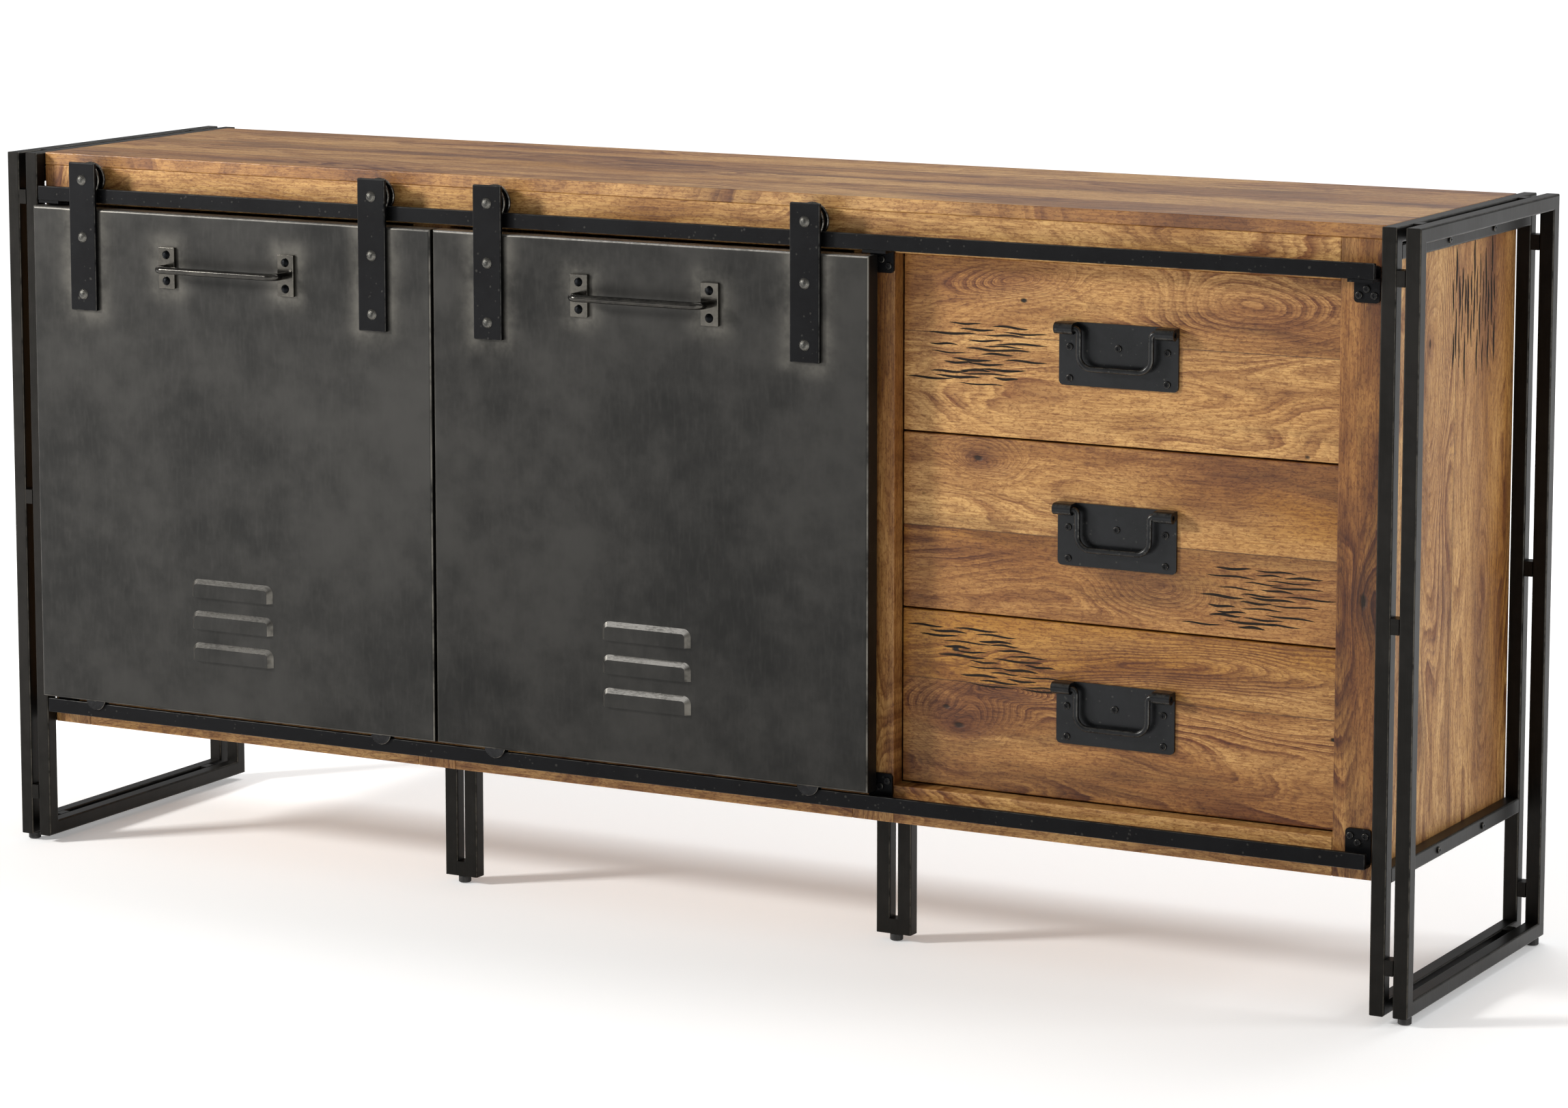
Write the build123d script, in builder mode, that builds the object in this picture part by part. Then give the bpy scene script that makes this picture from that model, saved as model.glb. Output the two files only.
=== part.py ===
"""Sideboard with steel end frames, two hanging sliding doors and three drawers.

Millimetres. X to the right, Y to the back, Z up. The floor is z = 0 and the origin is the middle
of the footprint, door handles included. Each sub-part is its own block and its own STEP file.
"""
from build123d import *
import os

os.makedirs("parts", exist_ok=True)

# ---- steel end frames: two closed rings of square tube at each end ----
overall_width = 1700
frame_depth = 388
frame_height = 785
tube = 16
tube_wall = 1.5
tube_corner = 2
ring_gap = 9
spacer_inset = 50
foot_height = 8
foot_radius = 7
foot_inset = 14
foot_chamfer = 1
foot_round = 1.5
stud_radius = 3
stud_length = 12
middle_leg_setback = 63
leg_plate_thickness = 3
leg_plate_margin = 22
bar_drop = 1

# ---- wooden carcass ----
leg_height = 132
setback = 16
top_thickness = 14
panel = 18
back_thickness = 6
stile_width = 48
stile_thickness = 20
top_rail_height = 42
bottom_rail_height = 40
drawer_bay_width = 491
shelf_front_setback = 30
wood_edge = 1.2
shelf_gap = 1
pin_radius = 2.5
pin_depth = 8
pin_inset = 40

# ---- tracks, brackets and doors ----
track_height = 16
track_thickness = 6
track_end_gap = 5
track_drop = 36
bottom_track_rise = 15
bracket_width = 27
bracket_height = 37
bracket_thickness = 3
bracket_corner = 4
bracket_top_offset = 4
bracket_end_gap = 6
sheet = 1.5
door_thickness = 20
door_overhang = 10
door_corner = 3
door_gap = 3
door_end_gap = 1
door_reveal = 17
door_top_gap = 22
door_bottom_gap = 3
strap_width = 35
strap_length = 166
strap_thickness = 5
strap_corner = 1.5
strap_inset = 72
strap_above_axle = 19.5
strap_bolt_pitch = 64
wheel_radius = 19
wheel_groove_radius = 10
wheel_width = 14
roller_radius = 13
roller_groove_radius = 5.5
roller_flange = 2
pocket_gap = 2
pin_head_margin = 2
pin_head_thickness = 1.5
groove_side_gap = 0.5
rolling_gap = 0.3
louvre_width = 108
louvre_height = 20
louvre_depth = 5
louvre_corner = 9
louvre_pitch = 36
louvre_rise = 62
louvre_count = 3
handle_span = 158.6
handle_drop = 60
handle_rod = 8
handle_standoff = 25
handle_bend = 10
handle_plate_width = 21
handle_plate_height = 46
handle_plate_thickness = 4
handle_bolt_pitch = 29

# ---- drawers ----
drawer_count = 3
front_recess = 18
front_thickness = 18
front_gap = 2
front_side_gap = 1.5
box_depth = 300
box_wall = 14
box_bottom = 6
box_side_gap = 6
box_top_gap = 25
box_bottom_gap = 12
runner_height = 12
runner_engage = 7
runner_front_gap = 4
runner_back_gap = 6
slide_gap = 0.5
pull_width = 132
pull_height = 65
pull_thickness = 2.5
pull_corner = 5
barrel_radius = 6
barrel_length = 20.5
barrel_centre = 56
barrel_standoff = 8.5
bail_rod = 6
bail_half_width = 40
bail_drop = 40
bail_bend = 14
bail_top_bend = 5
bail_end_inset = 2
pull_screw_x = 54
pull_screw_rows = (7, -25)
pull_screw_middle = 8

# ---- fixings ----
bolt_shank_radius = 3
bolt_head_radius = 6
bolt_head_height = 3.5
handle_bolt_radius = 5
handle_shank_radius = 2.5
axle_radius = 4
nut_height = 4
nut_wall = 2
thread_end = 1
washer = 1
screw_head_radius = 3.6
screw_head_height = 2
screw_head_round = 0.9
screw_shank_radius = 1.8
screw_length = 14
screw_slot = 0.9
bore_gap = 0.05
hole_gap = 0.2
cut_past = 1
side_screw_length = 28
bar_screws = (141, 265)
bracket_screw_spread = 8
bracket_screw_edge = 7.5
bracket_screw_step = 6.5

# ---- levels and planes worked out from the sizes above ----
base = foot_height
handle_reach = door_overhang + handle_standoff + handle_rod / 2
post_front = (handle_reach - frame_depth) / 2
post_back = post_front + frame_depth
frame_top = base + frame_height
carcass_half = overall_width / 2 - 2 * tube - ring_gap
carcass_front = post_front + setback
carcass_back = post_back - setback
carcass_bottom = base + leg_height
stile_back = carcass_front + stile_thickness
top_under = frame_top - top_thickness
opening_top = top_under - top_rail_height
opening_bottom = carcass_bottom + bottom_rail_height
back_face = carcass_back - back_thickness
bay_half = carcass_half - panel

drawer_bay_right = carcass_half - stile_width
drawer_bay_left = drawer_bay_right - drawer_bay_width
right_stile = drawer_bay_left - stile_width / 2
left_stile = right_stile - stile_width - drawer_bay_width
centre_stiles = (left_stile, right_stile)

door_front = post_front - door_overhang
track_y = door_front + washer + wheel_width / 2
top_track_top = frame_top - track_drop
bottom_track_bottom = carcass_bottom + bottom_track_rise
bottom_track_top = bottom_track_bottom + track_height
track_half = carcass_half - track_end_gap
bracket_front = carcass_front - bracket_thickness
bracket_end = carcass_half - bracket_end_gap - bracket_width / 2
bracket_centre = drawer_bay_left - bracket_width / 2
bracket_places = (-bracket_end, bracket_centre, bracket_end)

door_back = door_front + door_thickness
door_bottom = bottom_track_top + door_bottom_gap
door_top = top_track_top - door_top_gap
door_left_edge = door_end_gap - carcass_half
door_right_edge = drawer_bay_left - door_reveal
door_width = (door_right_edge - door_left_edge - door_gap) / 2
wheel_axle_z = top_track_top + wheel_groove_radius + rolling_gap
roller_axle_z = bottom_track_top + roller_groove_radius + rolling_gap
groove_width = track_thickness + 2 * groove_side_gap

front_height = (opening_top - opening_bottom - (drawer_count + 1) * front_gap) / drawer_count
front_left = drawer_bay_left + front_side_gap
front_right = drawer_bay_right - front_side_gap
front_face = carcass_front + front_recess
front_rear = front_face + front_thickness
box_back = front_rear + box_depth
drawer_middle = (drawer_bay_left + drawer_bay_right) / 2
box_left = front_left + box_side_gap
box_right = front_right - box_side_gap
box_height = front_height - box_top_gap - box_bottom_gap


def block(x_span, y_span, z_span, mode=Mode.ADD):
    """A box given by the two ends of its span along each axis."""
    centre = [(low + high) / 2 for low, high in (x_span, y_span, z_span)]
    size = [high - low for low, high in (x_span, y_span, z_span)]
    with Locations(Location(tuple(centre))):
        Box(*size, mode=mode)


def keep(piece, name):
    """Names a finished sub-part and writes its STEP file."""
    piece.part.label = name
    export_step(piece.part, f"parts/{name}.step")


def soften(piece, radius):
    """Rounds every edge of a plain board or bar by the same small radius."""
    fillet(piece.edges(), radius)


def drill_y(places, radius, y_span):
    """Cuts round holes along Y at (x, z) places, between two planes."""
    for x, z in places:
        with Locations(Location((x, sum(y_span) / 2, z), (90, 0, 0))):
            Cylinder(radius, y_span[1] - y_span[0], mode=Mode.SUBTRACT)


def drill_x(places, radius, x_span):
    """Cuts round holes along X at (y, z) places, between two planes."""
    for y, z in places:
        with Locations(Location((sum(x_span) / 2, y, z), (0, 90, 0))):
            Cylinder(radius, x_span[1] - x_span[0], mode=Mode.SUBTRACT)


def drill_z(places, radius, z_span):
    """Cuts round holes along Z at (x, y) places, between two planes."""
    for x, y in places:
        with Locations((x, y, sum(z_span) / 2)):
            Cylinder(radius, z_span[1] - z_span[0], mode=Mode.SUBTRACT)


def cross_screw(length):
    """A pan-head cross-recess screw: head above the local XY plane, shank below it."""
    with BuildPart() as screw:
        with BuildSketch():
            Circle(screw_head_radius)
        extrude(amount=screw_head_height)
        fillet(screw.faces().sort_by(Axis.Z)[-1].edges(), screw_head_round)
        with BuildSketch(Plane.XY.offset(screw_head_height)):
            Rectangle(screw_head_radius, screw_slot)
            Rectangle(screw_slot, screw_head_radius)
        extrude(amount=-screw_head_height / 2, mode=Mode.SUBTRACT)
        with BuildSketch():
            Circle(screw_shank_radius)
        extrude(amount=-length)
        chamfer(screw.faces().sort_by(Axis.Z)[0].edges(), screw_shank_radius / 2)
    return screw.part


def dome_bolt(head_radius, shank_radius, grip):
    """A domed bolt: head above the local XY plane, shank below it, and a hexagon nut past the grip."""
    shank_end = grip + nut_height + thread_end
    with BuildPart() as bolt:
        with BuildSketch(Plane.XZ):
            with BuildLine():
                TangentArc((0, bolt_head_height), (head_radius, 0), tangent=(1, 0))
                Polyline((head_radius, 0), (shank_radius, 0), (shank_radius, -shank_end),
                         (0, -shank_end), (0, bolt_head_height))
            make_face()
        revolve(axis=Axis.Z)
    with BuildPart() as nut:
        with BuildSketch(Plane.XY.offset(-grip)):
            RegularPolygon(nut_wall + shank_radius, 6, major_radius=False)
            Circle(shank_radius + bore_gap, mode=Mode.SUBTRACT)
        extrude(amount=-nut_height)
    return [bolt.part, nut.part]


def facing_front(x, y, z):
    """Places a fixing so that its head looks to the front, along -Y."""
    return Location((x, y, z), (90, 0, 0))


# ================= steel end frames =================
post_lines = (post_front + tube / 2, post_back - tube / 2)
rail_lines = (base + tube / 2, frame_top - tube / 2)
outer_ring_x = overall_width / 2 - tube / 2
inner_ring_x = carcass_half + tube / 2
foot_lines = (post_front + foot_inset, post_back - foot_inset)
ring_middle = ((post_front + post_back) / 2, base + frame_height / 2)

for side, sign in (("left", -1), ("right", 1)):
    for place, ring_x in (("outer", outer_ring_x), ("inner", inner_ring_x)):
        with BuildPart() as ring:
            with BuildSketch(Plane.YZ.offset(sign * ring_x)):
                with Locations(ring_middle):
                    Rectangle(frame_depth, frame_height)
                    Rectangle(frame_depth - 2 * tube, frame_height - 2 * tube, mode=Mode.SUBTRACT)
            extrude(amount=tube / 2, both=True)
            fillet(ring.edges().filter_by(Axis.X, reverse=True), tube_corner)
            with BuildSketch(Plane.YZ.offset(sign * ring_x)):
                with Locations(ring_middle):
                    Rectangle(frame_depth - 2 * tube_wall, frame_height - 2 * tube_wall)
                    Rectangle(frame_depth - 2 * tube + 2 * tube_wall,
                              frame_height - 2 * tube + 2 * tube_wall, mode=Mode.SUBTRACT)
            extrude(amount=tube / 2 - tube_wall, both=True, mode=Mode.SUBTRACT)
            if place == "outer":
                stud_places = [(sign * outer_ring_x, y) for y in foot_lines]
                drill_z(stud_places, stud_radius + hole_gap, (base - cut_past, base + tube / 2))
        keep(ring, f"{side}_{place}_ring")

gap_x = carcass_half + tube + ring_gap / 2
inset_heights = (base + spacer_inset, base + frame_height / 2, frame_top - spacer_inset)
inset_depths = (post_front + spacer_inset, post_back - spacer_inset)
spacer_places = [(y, z) for y in post_lines for z in inset_heights]
spacer_places += [(y, z) for y in inset_depths for z in rail_lines]

with BuildPart() as frame_spacers:
    for sign in (-1, 1):
        with Locations([(sign * gap_x, y, z) for y, z in spacer_places]):
            Box(ring_gap, tube, tube)
keep(frame_spacers, "frame_spacers")

bar_centres = (carcass_bottom + tube / 2, frame_top - tube - bar_drop - tube / 2)
bar_front = post_front + tube
bar_back = post_back - tube
bar_holes = [(post_front + y, z) for y in bar_screws for z in bar_centres]

with BuildPart() as side_bars:
    for sign in (-1, 1):
        for z in bar_centres:
            with BuildSketch(Plane.XZ.offset(-bar_front)):
                with Locations((sign * inner_ring_x, z)):
                    RectangleRounded(tube, tube, tube_corner)
                    RectangleRounded(tube - 2 * tube_wall, tube - 2 * tube_wall,
                                     tube_corner - tube_wall, mode=Mode.SUBTRACT)
            extrude(amount=bar_front - bar_back)
        bar_faces = sorted((sign * (carcass_half - cut_past), sign * (carcass_half + tube + cut_past)))
        drill_x(bar_holes, screw_shank_radius + hole_gap, bar_faces)
keep(side_bars, "side_bars")

side_screw = cross_screw(side_screw_length)
with BuildPart() as side_bar_screws:
    for sign in (-1, 1):
        for y, z in bar_holes:
            with Locations(Location((sign * (carcass_half + tube), y, z), (0, sign * 90, 0))):
                add(side_screw)
keep(side_bar_screws, "side_bar_screws")

leg_width = 2 * tube + ring_gap
leg_front = post_front + middle_leg_setback
leg_centre_y = leg_front + tube / 2
bottom_under = opening_bottom - panel
leg_top = bottom_under - leg_plate_thickness
plate_screw_spread = leg_width / 2 + leg_plate_margin / 2
leg_screw_places = [(x + dx, leg_centre_y + dy) for x in centre_stiles
                    for dx in (-plate_screw_spread, plate_screw_spread) for dy in (-tube, tube)]

with BuildPart() as middle_legs:
    for x in centre_stiles:
        for dx in (-(ring_gap + tube) / 2, (ring_gap + tube) / 2):
            with BuildSketch(Plane.XY.offset(base)):
                with Locations((x + dx, leg_centre_y)):
                    RectangleRounded(tube, tube, tube_corner)
            extrude(amount=leg_top - base)
            with BuildSketch(Plane.XY.offset(base + tube_wall)):
                with Locations((x + dx, leg_centre_y)):
                    Rectangle(tube - 2 * tube_wall, tube - 2 * tube_wall)
            extrude(amount=leg_top - base - tube_wall, mode=Mode.SUBTRACT)
        tie_half = ring_gap / 2 + tube_wall
        block((x - tie_half, x + tie_half), (leg_front, leg_front + tube), (base, base + tube))
        plate_half = leg_width / 2 + leg_plate_margin
        block((x - plate_half, x + plate_half),
              (leg_centre_y - leg_plate_margin, leg_centre_y + leg_plate_margin), (leg_top, bottom_under))
    drill_z([(x, leg_centre_y) for x in centre_stiles], stud_radius + hole_gap,
            (base - cut_past, base + stud_length + cut_past))
    drill_z(leg_screw_places, screw_shank_radius + hole_gap, (leg_top - cut_past, bottom_under + cut_past))
keep(middle_legs, "middle_legs")

leg_screw = cross_screw(screw_length)
with BuildPart() as leg_screws:
    for x, y in leg_screw_places:
        with Locations(Location((x, y, leg_top), (180, 0, 0))):
            add(leg_screw)
keep(leg_screws, "leg_screws")

with BuildPart() as foot_shape:
    with BuildSketch():
        Circle(foot_radius)
    extrude(amount=foot_height)
    chamfer(foot_shape.faces().sort_by(Axis.Z)[0].edges(), foot_chamfer)
    fillet(foot_shape.faces().sort_by(Axis.Z)[-1].edges(), foot_round)
    with BuildSketch(Plane.XY.offset(foot_height)):
        Circle(stud_radius)
    extrude(amount=stud_length)

foot_places = [(sign * outer_ring_x, y) for sign in (-1, 1) for y in foot_lines]
foot_places += [(x, leg_centre_y) for x in centre_stiles]
with BuildPart() as feet:
    with Locations([(x, y, 0) for x, y in foot_places]):
        add(foot_shape.part)
keep(feet, "feet")

# ================= wooden carcass =================
with BuildPart() as top_board:
    block((-carcass_half, carcass_half), (carcass_front, carcass_back), (top_under, frame_top))
    soften(top_board, wood_edge)
keep(top_board, "top_board")

with BuildPart() as bottom_board:
    block((-bay_half, bay_half), (stile_back, carcass_back), (bottom_under, opening_bottom))
    drill_z(leg_screw_places, screw_shank_radius + hole_gap,
            (bottom_under - cut_past, leg_top + screw_length + cut_past))
keep(bottom_board, "bottom_board")

shelf_top = (opening_bottom + top_under + panel) / 2
shelf_under = shelf_top - panel
shelf_front = stile_back + shelf_front_setback
shelf_back = back_face - shelf_gap
pin_z = shelf_under - pin_radius
pin_holes = [(y, pin_z) for y in (shelf_front + pin_inset, shelf_back - pin_inset)]
hole_depth = pin_depth + hole_gap
side_screw_reach = side_screw_length - tube + cut_past

for side, sign in (("left", -1), ("right", 1)):
    with BuildPart() as side_panel:
        block(sorted((sign * bay_half, sign * carcass_half)), (stile_back, carcass_back),
              (carcass_bottom, top_under))
        soften(side_panel, wood_edge / 2)
        drill_x(bar_holes, screw_shank_radius + hole_gap,
                sorted((sign * (carcass_half - side_screw_reach), sign * (carcass_half + cut_past))))
        if side == "left":
            drill_x(pin_holes, pin_radius + hole_gap, (-bay_half - hole_depth, -bay_half + cut_past))
    keep(side_panel, f"{side}_side_panel")

with BuildPart() as partition_panels:
    for x in centre_stiles:
        block((x - panel / 2, x + panel / 2), (stile_back, back_face), (opening_bottom, top_under))
    for x, sign in ((left_stile, -1), (left_stile, 1), (right_stile, -1)):
        face = x + sign * panel / 2
        drill_x(pin_holes, pin_radius + hole_gap, sorted((face + sign * cut_past, face - sign * hole_depth)))
keep(partition_panels, "partition_panels")

with BuildPart() as back_panel:
    block((-bay_half, bay_half), (back_face, carcass_back), (opening_bottom, top_under))
keep(back_panel, "back_panel")

door_bays = ((-bay_half, left_stile - panel / 2), (left_stile + panel / 2, right_stile - panel / 2))
with BuildPart() as shelves:
    for left, right in door_bays:
        block((left + shelf_gap, right - shelf_gap), (shelf_front, shelf_back), (shelf_under, shelf_top))
    soften(shelves, wood_edge)
keep(shelves, "shelves")

with BuildPart() as shelf_pins:
    for bay in door_bays:
        for wall, inward in zip(bay, (1, -1)):
            for y, z in pin_holes:
                with Locations(Location((wall, y, z), (0, 90, 0))):
                    Cylinder(pin_radius, 2 * pin_depth)
keep(shelf_pins, "shelf_pins")

top_leg = top_track_top - track_height - bracket_thickness
top_plate_low = top_track_top - bracket_top_offset - bracket_height
bottom_plate_high = bottom_track_bottom + bracket_height
bracket_levels = ((top_plate_low, top_leg, track_y - track_thickness / 2),
                  (bottom_track_bottom, bottom_track_bottom, track_y + track_thickness / 2))
bracket_holes = []
for side_z, middle_z in ((top_plate_low + bracket_screw_edge,
                          top_plate_low + bracket_screw_edge + bracket_screw_step),
                         (bottom_plate_high - bracket_screw_edge,
                          bottom_plate_high - bracket_screw_edge - bracket_screw_step)):
    for x in bracket_places:
        bracket_holes.append((x, middle_z))
        for dx in (-bracket_screw_spread, bracket_screw_spread):
            bracket_holes.append((x + dx, side_z))
bracket_drill = (carcass_front - cut_past, bracket_front + screw_length + cut_past)

with BuildPart() as end_stiles:
    for sign in (-1, 1):
        block(sorted((sign * (carcass_half - stile_width), sign * carcass_half)),
              (carcass_front, stile_back), (carcass_bottom, top_under))
    soften(end_stiles, wood_edge)
    drill_y(bracket_holes, screw_shank_radius + hole_gap, bracket_drill)
keep(end_stiles, "end_stiles")

with BuildPart() as middle_stiles:
    for x in centre_stiles:
        block((x - stile_width / 2, x + stile_width / 2), (carcass_front, stile_back),
              (carcass_bottom, opening_top))
    soften(middle_stiles, wood_edge)
    drill_y(bracket_holes, screw_shank_radius + hole_gap, bracket_drill)
keep(middle_stiles, "centre_stiles")

face_bays = ((-drawer_bay_right, left_stile - stile_width / 2),
             (left_stile + stile_width / 2, right_stile - stile_width / 2),
             (drawer_bay_left, drawer_bay_right))
whole_front = ((-drawer_bay_right, drawer_bay_right),)
for name, spans, low, high in (("top_rail", whole_front, opening_top, top_under),
                               ("bottom_rail", face_bays, carcass_bottom, opening_bottom)):
    with BuildPart() as rail:
        for left, right in spans:
            block((left, right), (carcass_front, stile_back), (low, high))
        soften(rail, wood_edge)
    keep(rail, name)

# ================= tracks and their brackets =================
for name, low in (("top_track", top_track_top - track_height), ("bottom_track", bottom_track_bottom)):
    with BuildPart() as track:
        block((-track_half, track_half),
              (track_y - track_thickness / 2, track_y + track_thickness / 2), (low, low + track_height))
        soften(track, track_thickness / 6)
    keep(track, name)

with BuildPart() as track_brackets:
    for low, leg_low, leg_front_y in bracket_levels:
        for x in bracket_places:
            with BuildSketch(Plane.XZ.offset(-bracket_front)):
                with Locations((x, low + bracket_height / 2)):
                    RectangleRounded(bracket_width, bracket_height, bracket_corner)
            extrude(amount=-bracket_thickness)
            block((x - bracket_width / 2, x + bracket_width / 2), (leg_front_y, bracket_front),
                  (leg_low, leg_low + bracket_thickness))
    drill_y(bracket_holes, screw_shank_radius + hole_gap,
            (bracket_front - cut_past, carcass_front + cut_past))
keep(track_brackets, "track_brackets")

bracket_screw = cross_screw(screw_length)
with BuildPart() as bracket_screws:
    for x, z in bracket_holes:
        with Locations(facing_front(x, bracket_front, z)):
            add(bracket_screw)
keep(bracket_screws, "bracket_screws")

# ================= sliding doors =================
strap_top = wheel_axle_z + strap_above_axle
strap_bottom = strap_top - strap_length
strap_front = door_front - strap_thickness
strap_bolt_heights = (wheel_axle_z - strap_bolt_pitch, wheel_axle_z - 2 * strap_bolt_pitch)
roller_width = groove_width + 2 * roller_flange
roller_back = track_y + roller_width / 2
pocket_half = roller_radius + pocket_gap
sheet_back = door_front + sheet
pin_back = roller_back + washer + pin_head_thickness
sheet_cut = (door_front - cut_past, sheet_back + cut_past)
strap_cut = (strap_front - cut_past, door_front + cut_past)
handle_z = door_top - handle_drop
handle_plate_front = door_front - handle_plate_thickness
rod_end = door_front - handle_plate_thickness / 2
handle_bolt_offsets = (-handle_bolt_pitch / 2, handle_bolt_pitch / 2)


def grooved_wheel(radius, groove, width, bore):
    """A flanged wheel about the Z axis with one square groove round its rim."""
    with BuildPart() as wheel:
        with BuildSketch(Plane.XZ):
            half = width / 2
            groove_half = groove_width / 2
            edge = (half - groove_half) / 4
            with BuildLine():
                Polyline((bore, -half), (radius - edge, -half), (radius, edge - half),
                         (radius, -groove_half - edge), (radius - edge, -groove_half),
                         (groove, -groove_half), (groove, groove_half), (radius - edge, groove_half),
                         (radius, groove_half + edge), (radius, half - edge), (radius - edge, half),
                         (bore, half), close=True)
            make_face()
        revolve(axis=Axis.Z)
    return wheel.part


top_wheel = grooved_wheel(wheel_radius, wheel_groove_radius, wheel_width, axle_radius + bore_gap)
guide_roller = grooved_wheel(roller_radius, roller_groove_radius, roller_width,
                             stud_radius + bore_gap)
axle_bolt = dome_bolt(bolt_head_radius, axle_radius, strap_thickness + 2 * washer + wheel_width)
strap_bolt = dome_bolt(bolt_head_radius, bolt_shank_radius, strap_thickness + sheet)
handle_bolt = dome_bolt(handle_bolt_radius, handle_shank_radius,
                        handle_plate_thickness + sheet)

with BuildPart() as roller_pin:
    with BuildSketch():
        Circle(stud_radius)
    extrude(amount=pin_back - sheet_back)
    with BuildSketch(Plane.XY.offset(pin_back - sheet_back)):
        Circle(stud_radius + pin_head_margin)
    extrude(amount=-pin_head_thickness)

for door_index, side in enumerate(("left", "right")):
    left = door_left_edge + door_index * (door_width + door_gap)
    right = left + door_width
    middle = (left + right) / 2
    strap_lines = (left + strap_inset, right - strap_inset)
    handle_lines = (middle - handle_span / 2, middle + handle_span / 2)
    strap_bolts = [(x, z) for x in strap_lines for z in strap_bolt_heights]
    handle_bolts = [(x, handle_z + dz) for x in handle_lines for dz in handle_bolt_offsets]

    with BuildPart() as door:
        block((left, right), (door_front, door_back), (door_bottom, door_top))
        fillet(door.faces().sort_by(Axis.Y)[0].edges(), door_corner)
        block((left + sheet, right - sheet), (sheet_back, door_back + cut_past),
              (door_bottom + sheet, door_top - sheet), mode=Mode.SUBTRACT)
        for row in range(louvre_count):
            low = door_bottom + louvre_rise + row * louvre_pitch
            top = low + louvre_height
            for inset, plane_y, mode in ((0, door_front, Mode.ADD), (sheet, sheet_back, Mode.SUBTRACT)):
                half_width = louvre_width / 2 - inset
                with BuildPart(mode=Mode.PRIVATE) as hood:
                    with BuildSketch(Plane.XZ.offset(-plane_y)):
                        with Locations((middle, top - inset - louvre_height)):
                            RectangleRounded(2 * half_width, 2 * louvre_height, louvre_corner - inset)
                    extrude(amount=louvre_depth, taper=45)
                    block((middle - louvre_width, middle + louvre_width),
                          (door_front - 2 * louvre_depth, door_back),
                          (low - 2 * louvre_height, low), mode=Mode.SUBTRACT)
                add(hood.part, mode=mode)
        for x in strap_lines:
            block((x - pocket_half, x + pocket_half), (sheet_back, pin_back + washer),
                  (door_bottom - cut_past, door_bottom + sheet + cut_past), mode=Mode.SUBTRACT)
        drill_y(strap_bolts, bolt_shank_radius + hole_gap, sheet_cut)
        drill_y(handle_bolts, handle_shank_radius + hole_gap, sheet_cut)
    keep(door, f"{side}_door_panel")

    with BuildPart() as straps:
        for x in strap_lines:
            block((x - strap_width / 2, x + strap_width / 2), (strap_front, door_front),
                  (strap_bottom, strap_top))
        soften(straps, strap_corner)
        drill_y(strap_bolts, bolt_shank_radius + hole_gap, strap_cut)
        drill_y([(x, wheel_axle_z) for x in strap_lines], axle_radius + hole_gap, strap_cut)
    keep(straps, f"{side}_door_straps")

    with BuildPart() as bolts:
        for x in strap_lines:
            with Locations(facing_front(x, strap_front, wheel_axle_z)):
                add(axle_bolt)
            with Locations(Location((x, sheet_back, roller_axle_z), (-90, 0, 0))):
                add(roller_pin.part)
        for x, z in strap_bolts:
            with Locations(facing_front(x, strap_front, z)):
                add(strap_bolt)
        for x, z in handle_bolts:
            with Locations(facing_front(x, handle_plate_front, z)):
                add(handle_bolt)
    keep(bolts, f"{side}_door_bolts")

    with BuildPart() as handle:
        for x in handle_lines:
            block((x - handle_plate_width / 2, x + handle_plate_width / 2),
                  (handle_plate_front, door_front),
                  (handle_z - handle_plate_height / 2, handle_z + handle_plate_height / 2))
        soften(handle, handle_plate_thickness / 5)
        with BuildLine() as handle_line:
            FilletPolyline((handle_lines[0], rod_end, handle_z),
                           (handle_lines[0], door_front - handle_standoff, handle_z),
                           (handle_lines[1], door_front - handle_standoff, handle_z),
                           (handle_lines[1], rod_end, handle_z), radius=handle_bend)
        with BuildSketch(Plane(origin=handle_line.line @ 0, z_dir=handle_line.line % 0)):
            Circle(handle_rod / 2)
        sweep()
        drill_y(handle_bolts, handle_shank_radius + hole_gap,
                (handle_plate_front - cut_past, door_front + cut_past))
    keep(handle, f"{side}_door_handle")

    for end, x in zip(("left", "right"), strap_lines):
        with BuildPart() as wheel:
            with Locations(facing_front(x, track_y, wheel_axle_z)):
                add(top_wheel)
        keep(wheel, f"{side}_door_{end}_wheel")
        with BuildPart() as roller:
            with Locations(facing_front(x, track_y, roller_axle_z)):
                add(guide_roller)
        keep(roller, f"{side}_door_{end}_roller")

# ================= drawers =================
front_bottoms = [opening_bottom + front_gap + row * (front_height + front_gap)
                 for row in range(drawer_count)]
box_middles = [low + box_bottom_gap + box_height / 2 for low in front_bottoms]
runner_front = front_rear + runner_front_gap
runner_back = back_face - runner_back_gap
partition_face = right_stile + panel / 2

with BuildPart() as drawer_runners:
    for z in box_middles:
        for wall, reach in ((partition_face, box_left + runner_engage),
                            (bay_half, box_right - runner_engage)):
            block(sorted((wall, reach)), (runner_front, runner_back),
                  (z - runner_height / 2, z + runner_height / 2))
keep(drawer_runners, "drawer_runners")

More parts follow.
